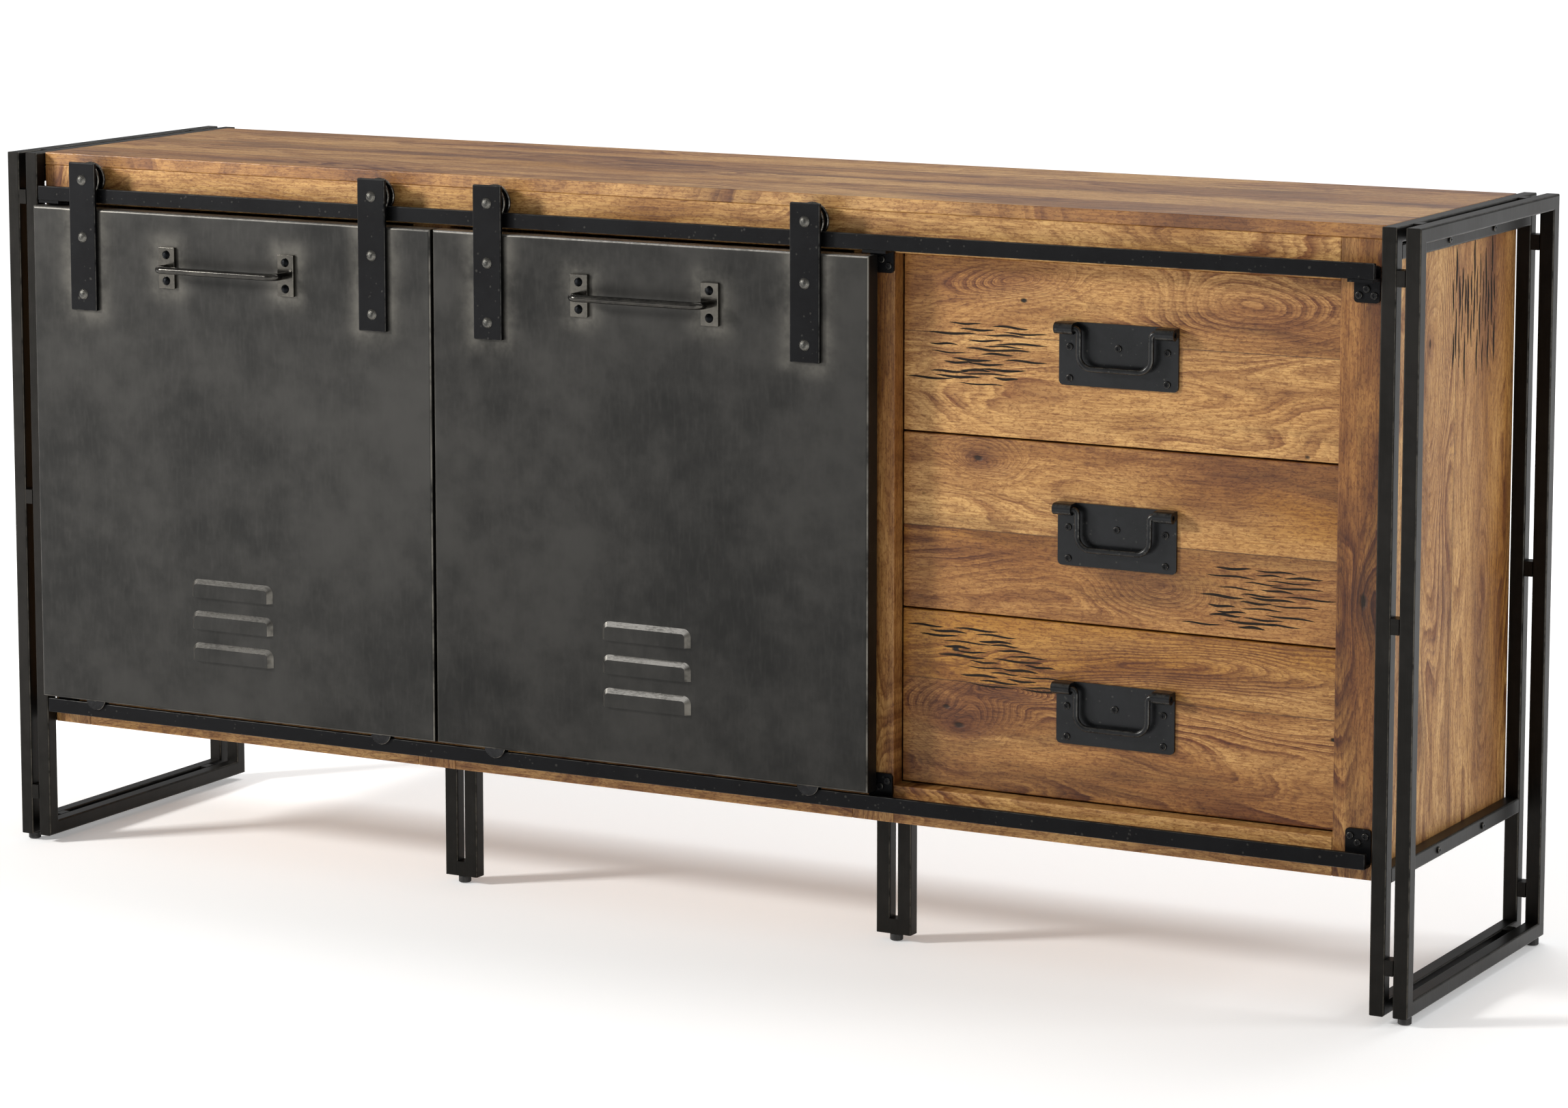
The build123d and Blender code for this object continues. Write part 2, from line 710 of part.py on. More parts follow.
pull_screw = cross_screw(screw_length)
pull_front = front_face - pull_thickness
barrel_y = pull_front - barrel_standoff
for name, low in zip(("lower", "middle", "upper"), front_bottoms):
    pull_z = low + front_height / 2
    pull_top = pull_z + pull_height / 2
    barrel_z = pull_top - barrel_radius
    pull_holes = [(drawer_middle + dx, pull_z + dz) for dx in (-pull_screw_x, pull_screw_x)
                  for dz in pull_screw_rows]
    pull_holes.append((drawer_middle, pull_z + pull_screw_middle))

    with BuildPart() as front:
        block((front_left, front_right), (front_face, front_rear), (low, low + front_height))
        soften(front, wood_edge)
        drill_y(pull_holes, screw_shank_radius + hole_gap,
                (front_face - cut_past, front_face + screw_length))
    keep(front, f"{name}_drawer_front")

    box_low = low + box_bottom_gap
    box_high = box_low + box_height
    groove_half = runner_height / 2 + slide_gap
    groove_depth = runner_engage + 2 * slide_gap
    groove_z = box_low + box_height / 2
    with BuildPart() as drawer_box:
        for x in ((box_left, box_left + box_wall), (box_right - box_wall, box_right)):
            block(x, (front_rear, box_back), (box_low, box_high))
        for x in ((box_left - cut_past, box_left + groove_depth),
                  (box_right - groove_depth, box_right + cut_past)):
            block(x, (front_rear, box_back + cut_past), (groove_z - groove_half, groove_z + groove_half),
                  mode=Mode.SUBTRACT)
        inside = (box_left + box_wall, box_right - box_wall)
        block(inside, (box_back - box_wall, box_back), (box_low + box_bottom, box_high))
        block(inside, (front_rear, box_back), (box_low, box_low + box_bottom))
    keep(drawer_box, f"{name}_drawer_box")

    with BuildPart() as pull:
        with BuildSketch(Plane.XZ.offset(-front_face)):
            with Locations((drawer_middle, pull_z)):
                RectangleRounded(pull_width, pull_height, pull_corner)
        extrude(amount=pull_thickness)
        for dx in (-barrel_centre, barrel_centre):
            x = drawer_middle + dx
            half = barrel_length / 2
            block((x - half, x + half), (barrel_y, front_face - pull_thickness / 2),
                  (barrel_z - barrel_radius / 2, barrel_z + barrel_radius))
            with Locations(Location((x, barrel_y, barrel_z), (0, 90, 0))):
                Cylinder(barrel_radius, barrel_length)
        barrel_reach = barrel_centre + barrel_length
        drill_x([(barrel_y, barrel_z)], bail_rod / 2 + bore_gap,
                (drawer_middle - barrel_reach, drawer_middle + barrel_reach))
        drill_y(pull_holes, screw_shank_radius + hole_gap, (pull_front - cut_past, front_face + cut_past))
    keep(pull, f"{name}_pull_plate")

    with BuildPart() as bail:
        pivot_end = barrel_centre + barrel_length / 2 - bail_end_inset
        foot_z = barrel_z - bail_drop
        with BuildLine() as bail_line:
            FilletPolyline((drawer_middle - pivot_end, barrel_y, barrel_z),
                           (drawer_middle - bail_half_width, barrel_y, barrel_z),
                           (drawer_middle - bail_half_width, barrel_y, foot_z),
                           (drawer_middle + bail_half_width, barrel_y, foot_z),
                           (drawer_middle + bail_half_width, barrel_y, barrel_z),
                           (drawer_middle + pivot_end, barrel_y, barrel_z),
                           radius=[bail_top_bend, bail_bend, bail_bend, bail_top_bend])
        with BuildSketch(Plane(origin=bail_line.line @ 0, z_dir=bail_line.line % 0)):
            Circle(bail_rod / 2)
        sweep()
    keep(bail, f"{name}_pull_bail")

    with BuildPart() as pull_screws:
        for x, z in pull_holes:
            with Locations(facing_front(x, pull_front, z)):
                add(pull_screw)
    keep(pull_screws, f"{name}_pull_screws")
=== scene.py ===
# %% [markdown]
# # A sideboard of mango wood and steel
# The imported model already holds every board, tube, door and wheel at its real size. This lesson gives
# them their finishes, lights them and sets up the camera. We load the frame first, and keep the size
# of the untouched model.

# %% Load the frame
import math

import bpy
import numpy as np
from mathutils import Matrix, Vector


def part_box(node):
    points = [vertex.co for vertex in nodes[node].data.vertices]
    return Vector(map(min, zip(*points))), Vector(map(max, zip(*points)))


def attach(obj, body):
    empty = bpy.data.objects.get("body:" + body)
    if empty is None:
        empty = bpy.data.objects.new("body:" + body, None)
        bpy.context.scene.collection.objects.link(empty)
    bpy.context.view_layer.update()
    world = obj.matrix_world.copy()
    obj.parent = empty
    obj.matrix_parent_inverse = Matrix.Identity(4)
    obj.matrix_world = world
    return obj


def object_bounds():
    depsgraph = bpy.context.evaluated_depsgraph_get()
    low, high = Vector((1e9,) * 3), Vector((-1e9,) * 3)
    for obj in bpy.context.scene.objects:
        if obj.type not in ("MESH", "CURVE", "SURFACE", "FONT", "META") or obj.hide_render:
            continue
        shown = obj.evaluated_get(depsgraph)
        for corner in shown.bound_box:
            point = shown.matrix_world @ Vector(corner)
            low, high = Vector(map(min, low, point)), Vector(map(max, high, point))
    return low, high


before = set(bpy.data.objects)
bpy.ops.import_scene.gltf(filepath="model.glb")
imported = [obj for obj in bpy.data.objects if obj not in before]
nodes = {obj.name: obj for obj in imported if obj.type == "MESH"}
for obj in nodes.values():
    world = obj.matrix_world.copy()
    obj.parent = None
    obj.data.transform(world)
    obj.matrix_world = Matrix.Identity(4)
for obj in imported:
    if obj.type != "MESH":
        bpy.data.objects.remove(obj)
cad_low, cad_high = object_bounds()
print("nodes", len(nodes), "size", [round(v, 4) for v in cad_high - cad_low])

# %% [markdown]
# ## The camera
# The sideboard is seen from its right front, a little above its top. A long lens keeps the tubes nearly
# parallel. A view camera with its back held upright would keep the posts exactly parallel, but that
# takes a large lens shift, which other views would inherit. A small shift and a slight tilt come close.

# %% Camera
camera_data = bpy.data.cameras.new("camera")
camera_data.sensor_width = 36
camera_data.lens = 113.888
camera_data.shift_y = -0.1
camera = bpy.data.objects.new("camera", camera_data)
camera.location = (2.5994, -4.6415, 1.3030)
camera.rotation_euler = (math.radians(90 - 8.063), 0, math.radians(28.746))
bpy.context.scene.collection.objects.link(camera)
bpy.context.scene.camera = camera
print("camera", [round(v, 3) for v in camera.location])

# %% [markdown]
# ## Shader maths as plain expressions
# A material is a graph of nodes. Wiring each sum by hand hides the idea, so one small class wraps an
# output socket and lets us write `1 - mask * 0.5`. Everything that isn't a sum goes through one method
# that makes a node of any type, sets its options first and then its inputs.

# %% The socket class
class Value:
    """A number that varies over the surface: an output socket that can be added and multiplied."""

    def __init__(self, paint, socket):
        self.paint, self.socket = paint, socket

    def _math(self, operation, a, b):
        return self.paint.node("ShaderNodeMath", {"operation": operation}, {0: a, 1: b})

    def __add__(self, other):
        return self._math("ADD", self, other)

    def __sub__(self, other):
        return self._math("SUBTRACT", self, other)

    def __rsub__(self, other):
        return self._math("SUBTRACT", other, self)

    def __mul__(self, other):
        return self._math("MULTIPLY", self, other)

    def __truediv__(self, other):
        return self._math("DIVIDE", self, other)

    __radd__ = __add__
    __rmul__ = __mul__


class Paint:
    """A material under construction."""

    made = []

    def __init__(self, name):
        self.made.append(self)
        self.material = bpy.data.materials.new(name)
        self.material.use_nodes = True
        self.tree = self.material.node_tree
        self.shader = self.tree.nodes["Principled BSDF"]
        self.place = self.node("ShaderNodeTexCoord", {}, {}, "Object")
        self.facing = self.node("ShaderNodeTexCoord", {}, {}, "Normal")

    def node(self, kind, settings, inputs, output=0):
        """Makes a node, applies its settings, feeds its inputs and returns one output."""
        made = self.tree.nodes.new(kind)
        for name, value in settings.items():
            setattr(made, name, value)
        for name, value in inputs.items():
            if isinstance(value, Value):
                self.tree.links.new(value.socket, made.inputs[name])
            else:
                made.inputs[name].default_value = value
        return Value(self, made.outputs[output])

    def feed(self, **inputs):
        """Feeds the surface shader: a varying value is linked, a constant is set on its socket."""
        for name, value in inputs.items():
            socket = self.shader.inputs[name.replace("_", " ")]
            if isinstance(value, Value):
                self.tree.links.new(value.socket, socket)
            else:
                socket.default_value = value

    def axes(self):
        """The three object coordinates, in metres."""
        return [self.node("ShaderNodeSeparateXYZ", {}, {0: self.place}, i) for i in range(3)]

    def vector(self, x, y, z):
        return self.node("ShaderNodeCombineXYZ", {}, {0: x, 1: y, 2: z})

    def noise(self, where, scale, detail=2.0, rough=0.5, distortion=0.0):
        """Smooth noise from 0 to 1 at a vector that is already stretched as wanted."""
        return self.node("ShaderNodeTexNoise", {}, {"Vector": where, "Scale": scale, "Detail": detail,
                                                    "Roughness": rough, "Distortion": distortion})

    def smooth(self, value, low, high, start=0.0, end=1.0):
        """A soft step: start below low, end above high, eased between them."""
        return self.node("ShaderNodeMapRange", {"interpolation_type": "SMOOTHSTEP"},
                         {"Value": value, "From Min": low, "From Max": high, "To Min": start, "To Max": end})

    def pick(self, operation, a, b=0.0):
        return self.node("ShaderNodeMath", {"operation": operation}, {0: a, 1: b})

    def mix(self, factor, a, b):
        """Blends two colours by a factor."""
        return self.node("ShaderNodeMix", {"data_type": "RGBA"}, {0: factor, 6: a, 7: b}, 2)

    def darken(self, colour, factor, tint):
        """Multiplies a colour by a tint, as far as the factor says."""
        return self.node("ShaderNodeMix", {"data_type": "RGBA", "blend_type": "MULTIPLY"},
                         {0: factor, 6: colour, 7: tint}, 2)

    def bump(self, height, distance, strength=1.0):
        return self.node("ShaderNodeBump", {}, {"Strength": strength, "Distance": distance, "Height": height})


def colour(code):
    """A web colour as linear red, green, blue and alpha, by the standard display curve."""
    parts = [int(code[i:i + 2], 16) / 255 for i in (1, 3, 5)]
    return (*(v / 12.92 if v <= 0.04045 else ((v + 0.055) / 1.055) ** 2.4 for v in parts), 1.0)


def dress(name, material):
    """Gives a CAD node its finish."""
    data = nodes[name].data
    data.materials.clear()
    data.materials.append(material)
    data.polygons.foreach_set("material_index", np.zeros(len(data.polygons), np.int32))


print("sample colour", [round(v, 3) for v in colour("#a5733f")])

# %% [markdown]
# ## Mango wood
# Mango is a warm tan wood with brown and grey heart streaks, soft flame-shaped growth lines, short dark
# pores and now and then a small hole. It could be one noise coloured by a ramp, but then it looks like
# marble. Here the growth lines are the contour lines of a smooth noise that is stretched along the
# grain, which is what a saw does to rings: it cuts them into long arches and islands. Planks glued side
# by side get a different piece of the same noise and their own tone.

# %% The wood recipe
LIGHT, TAN, BROWN = colour("#cba164"), colour("#ac7b42"), colour("#7d4f22")
GREY, OCHRE, CHAR = colour("#68481f"), colour("#a4711c"), colour("#17130f")


def wood(name, grain, across, planks, seed, joints=(), knots=(), whorls=(), gloss=0.44, sheen=0.35):
    """Wood with its grain along one axis and its width along another (0, 1, 2 are X, Y, Z).

    planks is a list of (shade, ochre) per plank and joints the places of the glue lines between them.
    A growth line is where fraction(lines * field) is near 1, and field is stretched noise plus a slight
    slope across the board. knots are (along, across, radius). whorls are hills added to the field, so
    that growth lines close round them: (along, across, half length, half width, how dark).
    """
    paint = Paint(name)
    spots = paint.axes()
    u, v = spots[grain], spots[across]
    w = spots[3 - grain - across]
    shade, yellow = planks[0]
    step = w * 0.6 + seed * 1.37
    for place, before, after in zip(joints, planks, planks[1:]):
        side = paint.smooth(v, place - 0.0002, place + 0.0002)
        shade = side * (after[0] - before[0]) + shade
        yellow = side * (after[1] - before[1]) + yellow
        step = step + side * 5.13
    bend = paint.noise(paint.vector(u * 2.4, v * 4.5, step), 1.0, 3.0)
    sway = v + (bend - 0.5) * 0.085
    for along, over, radius in knots:
        du, dv = (u - along) * 0.45, v - over
        near = paint.pick("EXPONENT", (du * du + dv * dv) * (-1.0 / (radius * radius * 4)))
        sway = sway + near * radius * 1.6
    field = paint.noise(paint.vector(u * 1.9, sway * 9.0, step), 1.0, 2.0, 0.45)
    shadow = 0.0
    for along, over, half_u, half_v, dark in whorls:
        du, dv = (u - along + (bend - 0.5) * 0.05) / half_u, (sway - over) / half_v
        hill = paint.pick("EXPONENT", (du * du + dv * dv) * -1.0)
        field = hill * 0.42 + field
        shadow = hill * dark + shadow
    wobble = paint.noise(paint.vector(u * 24, v * 130, step), 1.0, 3.0, 0.6)
    rings = paint.pick("FRACT", field * 21 + sway * 9 + wobble * 0.55)
    line = paint.smooth(rings, 0.25, 0.94) * paint.smooth(rings, 0.94, 1.0, 1.0, 0.0)
    fine = paint.smooth(paint.pick("FRACT", field * 66 + wobble * 1.3), 0.35, 0.95)
    patch = paint.noise(paint.vector(u * 3.4, v * 18, step + 7.7), 1.0, 3.0, 0.6)
    strength = paint.smooth(patch, 0.40, 0.70)

    zone = paint.noise(paint.vector(u * 1.5, sway * 8, step + 3.1), 1.0, 4.0, 0.62)
    heart = paint.noise(paint.vector(u * 2.2, sway * 17, step + 11.9), 1.0, 4.0, 0.68)
    gold = paint.noise(paint.vector(u * 1.8, sway * 11, step + 21.3), 1.0, 3.0)
    smoke = paint.noise(paint.vector(u * 4.5, sway * 26, step + 31.7), 1.0, 3.0, 0.6)
    fibre = paint.noise(paint.vector(u * 40, v * 620, w * 620), 1.0, 3.0, 0.65)
    scales = paint.noise(paint.vector(u * 190, v * 420, w * 420), 1.0, 2.0, 0.6, 0.9)
    pore = paint.smooth(paint.noise(paint.vector(u * 110, v * 1400, w * 1400), 1.0, 1.0), 0.66, 0.76)

    body = paint.mix(paint.smooth(zone + shade, 0.34, 0.68), LIGHT, TAN)
    body = paint.mix(paint.smooth(zone + shade * 1.5, 0.50, 0.84), body, BROWN)
    body = paint.mix(paint.smooth(gold + yellow, 0.52, 0.80) * 0.75, body, OCHRE)
    body = paint.mix(paint.smooth(heart + shade * 0.6, 0.53, 0.68) * 0.42, body, GREY)
    body = paint.darken(body, paint.smooth(smoke, 0.48, 0.68) * 0.6, colour("#a5803f"))
    if whorls:
        body = paint.darken(body, paint.pick("MINIMUM", shadow * smoke * 1.1, 0.6), colour("#94602c"))
    body = paint.darken(body, fine * (strength * 0.40 + 0.14), colour("#96663a"))
    body = paint.darken(body, line * (strength * 0.75 + 0.14), colour("#925d22"))
    body = paint.darken(body, paint.smooth(fibre, 0.40, 0.66) * 0.55, colour("#ab8450"))
    body = paint.darken(body, paint.smooth(scales, 0.45, 0.66) * 0.55, colour("#a27a46"))
    body = paint.darken(body, pore * 0.5, colour("#5a3a22"))

    cells = {"Vector": paint.vector(u * 9, v * 16, w * 16 + seed), "Scale": 1.0}
    gap = paint.node("ShaderNodeTexVoronoi", {}, cells, "Distance")
    chance = paint.node("ShaderNodeTexVoronoi", {}, cells, "Color")
    rare = paint.smooth(paint.node("ShaderNodeSeparateColor", {}, {0: chance}), 0.45, 0.5)
    marks = paint.smooth(gap + (fibre - 0.5) * 0.03, 0.025, 0.045, 1.0, 0.0) * rare
    for along, over, radius in knots:
        du, dv = (u - along) * 0.5, v - over
        reach = paint.pick("SQRT", du * du + dv * dv) + (wobble - 0.5) * radius * 0.7
        core = paint.smooth(reach, radius * 0.18, radius * 0.5, 1.0, 0.0)
        halo = paint.smooth(reach, radius * 0.3, radius * 2.4, 1.0, 0.0)
        body = paint.darken(body, halo * 0.6, colour("#96602e"))
        marks = paint.pick("MAXIMUM", marks, core * 0.85)
    for place in joints:
        seam = paint.smooth(paint.pick("ABSOLUTE", v - place), 0.0002, 0.0009, 1.0, 0.0)
        body = paint.darken(body, seam * 0.6, colour("#4a2f1a"))
    body = paint.mix(marks, body, CHAR)

    height = fibre * 0.35 + line * 0.2 - marks * 2.4 - pore * 0.5
    paint.feed(Base_Color=body, Roughness=(fibre - 0.5) * 0.22 + line * 0.06 + gloss + marks * 0.3,
               Specular_IOR_Level=sheen,
               Normal=paint.bump(height, 0.0005, 0.6))
    return paint.material


# %% [markdown]
# ## Which boards are which
# Every board gets its own call, because no two boards come from the same place in a tree. The drawer
# fronts are glued from two planks each, and the side panels too.

# %% Dress the wood
def middle(name):
    """The middle of a CAD node, from its box."""
    low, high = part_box(name)
    return (low + high) / 2


upper, centre, lower = (middle(f"{name}_drawer_front") for name in ("upper", "middle", "lower"))
dress("upper_drawer_front", wood("upper_front_wood", 0, 2, [(-0.08, -0.04), (0.01, -0.08)], 1.7,
      joints=[upper.z + 0.012], whorls=[(upper.x + 0.150, upper.z + 0.050, 0.100, 0.038, 1.1),
                                        (upper.x - 0.115, upper.z + 0.066, 0.050, 0.016, 0.6)]))
dress("middle_drawer_front", wood("middle_front_wood", 0, 2, [(0.04, 0.03), (0.02, -0.02)], 4.2,
      joints=[centre.z - 0.005], knots=[(centre.x - 0.158, centre.z + 0.070, 0.007)],
      whorls=[(centre.x - 0.156, centre.z + 0.070, 0.034, 0.018, 1.0),
              (centre.x + 0.100, centre.z + 0.055, 0.090, 0.036, 0.8),
              (centre.x + 0.042, centre.z - 0.050, 0.060, 0.024, 0.7)]))
dress("lower_drawer_front", wood("lower_front_wood", 0, 2, [(0.04, -0.04), (-0.02, 0.22)], 7.9,
      joints=[lower.z + 0.020], knots=[(lower.x - 0.178, lower.z - 0.026, 0.009),
                                       (lower.x - 0.193, lower.z - 0.008, 0.006)],
      whorls=[(lower.x - 0.180, lower.z - 0.022, 0.050, 0.030, 1.2),
              (lower.x - 0.128, lower.z + 0.004, 0.040, 0.010, 0.9),
              (lower.x + 0.075, lower.z + 0.052, 0.170, 0.024, 0.15)]))
side = middle("right_side_panel")
dress("right_side_panel", wood("right_side_wood", 2, 1, [(-0.06, 0.08), (0.0, 0.04)], 3.3,
      joints=[side.y + 0.002], gloss=0.5,
      knots=[(side.z + 0.204, side.y - 0.070, 0.006), (side.z + 0.135, side.y - 0.150, 0.005)],
      whorls=[(side.z + 0.170, side.y - 0.075, 0.120, 0.040, 0.5),
              (side.z + 0.260, side.y + 0.110, 0.140, 0.050, 1.0),
              (side.z - 0.120, side.y + 0.080, 0.160, 0.030, 0.4)]))
dress("left_side_panel", wood("left_side_wood", 2, 1, [(0.06, 0.0), (-0.05, 0.05)], 5.1,
      joints=[side.y + 0.01], gloss=0.5))
dress("top_board", wood("top_wood", 0, 1, [(0.04, -0.02), (-0.04, 0.0), (0.08, -0.06), (0.0, 0.0)], 9.4,
      joints=[-0.075, 0.012, 0.104], gloss=0.36, sheen=0.5))
dress("top_rail", wood("top_rail_wood", 0, 2, [(-0.08, 0.0)], 12.6))
dress("bottom_rail", wood("bottom_rail_wood", 0, 2, [(0.02, 0.02)], 15.2))
dress("end_stiles", wood("end_stile_wood", 2, 0, [(0.07, -0.02)], 18.4, knots=[(0.42, 0.79, 0.010)]))
dress("centre_stiles", wood("centre_stile_wood", 2, 0, [(0.06, 0.0)], 21.8))
inner = wood("inner_wood", 0, 2, [(0.0, 0.0)], 24.3, gloss=0.55)
deep = wood("inner_wood_deep", 2, 1, [(0.02, 0.0)], 27.7, gloss=0.55)
flat = wood("inner_wood_flat", 0, 1, [(0.0, 0.0)], 30.1, gloss=0.55)
for name in ("upper", "middle", "lower"):
    dress(f"{name}_drawer_box", inner)
for name in ("bottom_board", "shelves", "drawer_runners"):
    dress(name, flat)
dress("partition_panels", deep)
dress("back_panel", wood("back_wood", 0, 2, [(0.05, 0.0)], 33.3, gloss=0.6))
print("wood materials", len(bpy.data.materials))

# %% [markdown]
# ## Burnt dashes
# Each drawer front, and the side panel, carries a tight cluster of dark dashes that run with the grain.
# They are shallow cuts filled with charred wax. A texture would blur at their pointed ends, so each dash
# is a thin lens of its own, with a low ridge along its middle, sunk a hair into the board.

# %% Dashes
ACROSS_FRONT = (np.array([1.0, 0, 0]), np.array([0, 0, 1.0]), np.array([0, -1.0, 0]))
UP_THE_SIDE = (np.array([0, 0, 1.0]), np.array([0, -1.0, 0]), np.array([1.0, 0, 0]))
DASH_STEPS = 11
DASH_SUNK, DASH_RIDGE = 0.0001, 0.00025
DASH_LENGTHS, DASH_HALF_WIDTHS = (0.028, 0.060), (0.0011, 0.0021)
DASH_MARGIN = 0.003

char_paint = Paint("charred_wax")
crust = char_paint.noise(char_paint.place, 900, 3.0, 0.6)
char_paint.feed(Base_Color=char_paint.mix(crust, colour("#0c0a08"), colour("#261e17")),
                Roughness=crust * 0.25 + 0.7, Specular_IOR_Level=0.2,
                Normal=char_paint.bump(crust, 0.0002, 0.5))


def dashes(name, body, spot, axes, count, seed, board, drift=0.0, spread=(0.118, 0.058), thick=1.0):
    """A cluster of dashes in rows. Along a dash, from 0 to 1, the half width is W * sin(pi t) ** 0.55.

    A dash that would run past an end of the board is moved back along the board.
    """
    rng = np.random.default_rng(seed)
    along, over, out = axes
    t = np.linspace(0, 1, DASH_STEPS)
    rows = count // 2
    low, high = sorted(np.dot(np.array(corner) - spot, along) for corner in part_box(board))
    low, high = low + DASH_MARGIN, high - DASH_MARGIN
    points, faces = [], []
    for number in range(count):
        row, second = number // 2, number % 2
        height = (row / (rows - 1) - 0.5) * spread[1] + rng.normal(0, 0.0008)
        shift = (second - 0.5) * spread[0] * 0.42 + (row % 2 - 0.5) * 0.024
        shift += rng.normal(0, 0.009) - height * drift
        length, half = rng.uniform(*DASH_LENGTHS), rng.uniform(*DASH_HALF_WIDTHS) * thick
        shift = np.clip(shift, low + length / 2, high - length / 2)
        run = shift + (t - 0.5) * length
        phase, slant = rng.uniform(0, 6), rng.normal(0, 0.02)
        wander = height + 0.0006 * np.sin(2.2 * np.pi * t + phase) + slant * (run - shift)
        width = half * np.sin(np.pi * np.clip(t, 0.01, 0.99)) ** 0.55
        base = len(points)
        for offset, lift in ((width, -DASH_SUNK), (0, DASH_RIDGE), (-width, -DASH_SUNK)):
            line = spot + np.outer(run, along) + np.outer(wander + offset, over) + lift * out
            points.extend(line.tolist())
        for strip in (0, DASH_STEPS):
            for k in range(DASH_STEPS - 1):
                a = base + strip + k
                faces.append((a, a + DASH_STEPS, a + DASH_STEPS + 1, a + 1))
    data = bpy.data.meshes.new(name)
    data.from_pydata(points, [], faces)
    data.materials.append(char_paint.material)
    piece = bpy.data.objects.new(name, data)
    bpy.context.scene.collection.objects.link(piece)
    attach(piece, body)
    return len(faces)


front_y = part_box("upper_drawer_front")[0].y
side_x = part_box("right_side_panel")[1].x
total = dashes("upper_dashes", "upper_drawer", (upper.x - 0.150, front_y, upper.z - 0.008),
               ACROSS_FRONT, 26, 3, "upper_drawer_front", drift=-0.5)
total += dashes("middle_dashes", "middle_drawer", (centre.x + 0.160, front_y, centre.z - 0.050),
                ACROSS_FRONT, 26, 5, "middle_drawer_front", drift=-0.6)
total += dashes("lower_dashes", "lower_drawer", (lower.x - 0.138, front_y, lower.z + 0.047),
                ACROSS_FRONT, 26, 7, "lower_drawer_front", drift=1.1)
total += dashes("side_dashes", "carcass", (side_x, side.y + 0.050, side.z + 0.225), UP_THE_SIDE, 30, 9,
                "right_side_panel", spread=(0.125, 0.115), thick=1.7)
print("dash faces", total)

# %% [markdown]
# ## Steel and iron
# Three finishes do the metal. The frames and doors are steel under a thin gunmetal lacquer, cloudy from
# the brush and painted bright on the corners, partly as rubbed wear and partly as a painted highlight. The
# straps, tracks and pulls are black iron. Handles and bolt heads are dark polished steel. On all of them
# the rounding of an edge is painted brighter, as wear and as the highlight that edges catch, and it can be
# found without any map: on a flat face the normal lies along one axis, on a rounding it doesn't, so one
# minus the largest part of the normal marks the edges. The louvres' slopes, the faces that look up and
# forwards, are painted brighter than the rest: partly rubbed wear, partly a painted highlight.

# %% The metal recipe
HALO_REACH = 0.014


def normal_parts(paint):
    return [paint.node("ShaderNodeSeparateXYZ", {}, {0: paint.facing}, i) for i in range(3)]


def edges(paint):
    """A mask that is 1 on rounded edges and 0 on faces that are square to an axis."""
    x, y, z = (paint.pick("ABSOLUTE", part) for part in normal_parts(paint))
    return 1 - paint.pick("MAXIMUM", paint.pick("MAXIMUM", x, y), z)


